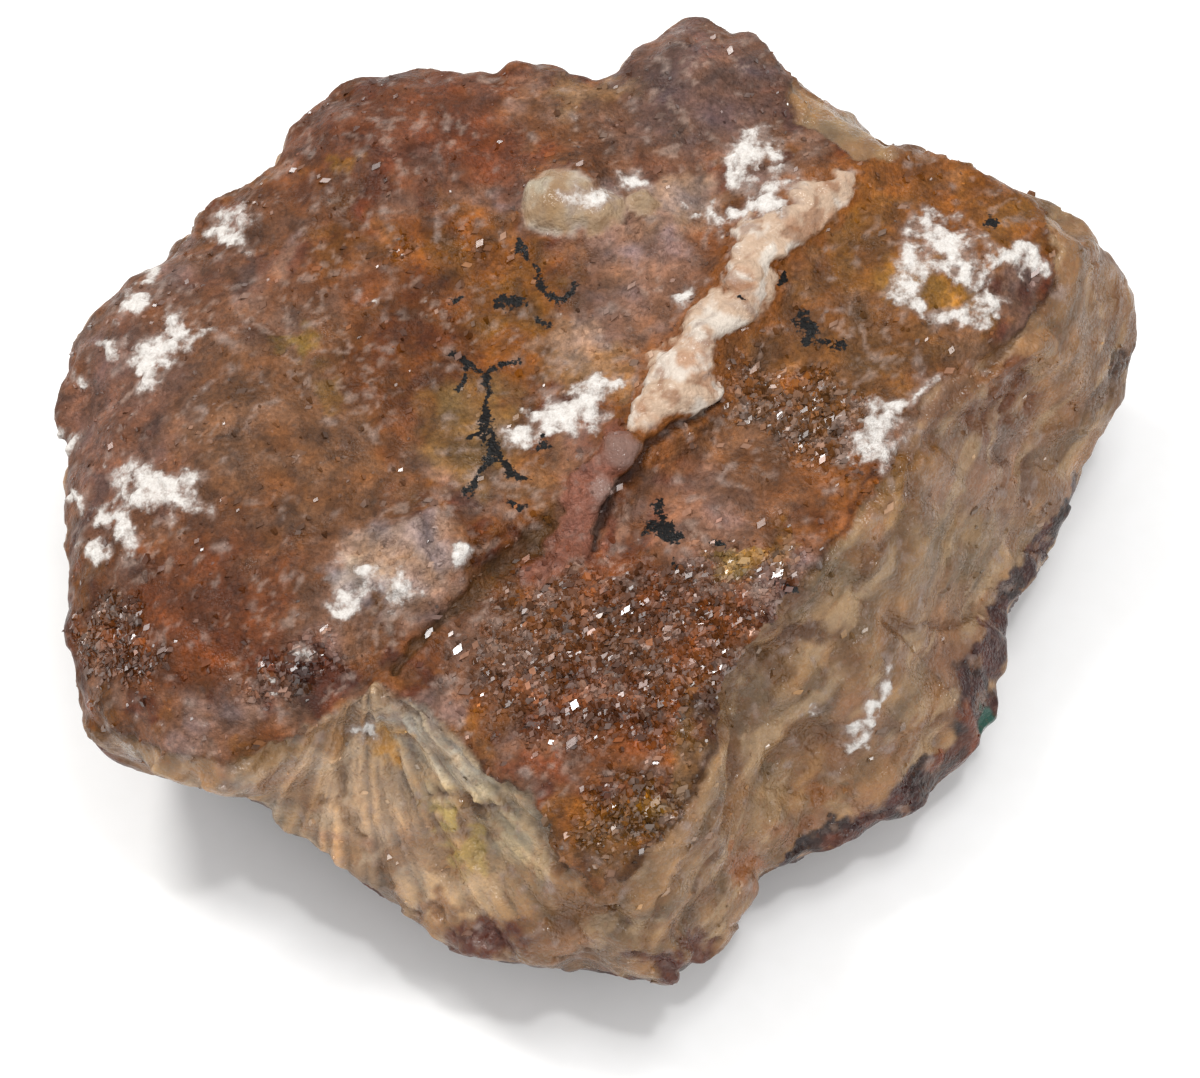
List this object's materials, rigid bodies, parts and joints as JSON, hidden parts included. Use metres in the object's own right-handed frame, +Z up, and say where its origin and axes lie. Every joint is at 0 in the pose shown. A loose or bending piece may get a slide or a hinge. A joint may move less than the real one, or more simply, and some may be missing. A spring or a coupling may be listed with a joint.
{
  "type": "dolomite hand specimen",
  "caption": "Broken chunk of dolomite with an iron-stained, sparkling brown skin, a raised cream vein and pale broken sides, resting on a flat underside.",
  "frame": {"origin": "centre of the stone's box, on the ground that its flat underside rests on", "axes": "+Z up from the flat underside; +Y from the front, where the pale broken faces show, to the back; +X to the viewer's right along the stone's longest side"},
  "size_m": [0.117, 0.1076, 0.0435],
  "materials": {
    "dolomite": "rough iron-stained skin with small glassy crystals, and pale cream, satin broken faces"
  },
  "bodies": {
    "root": {"dolomite": "dolomite"}
  },
  "joints": []
}
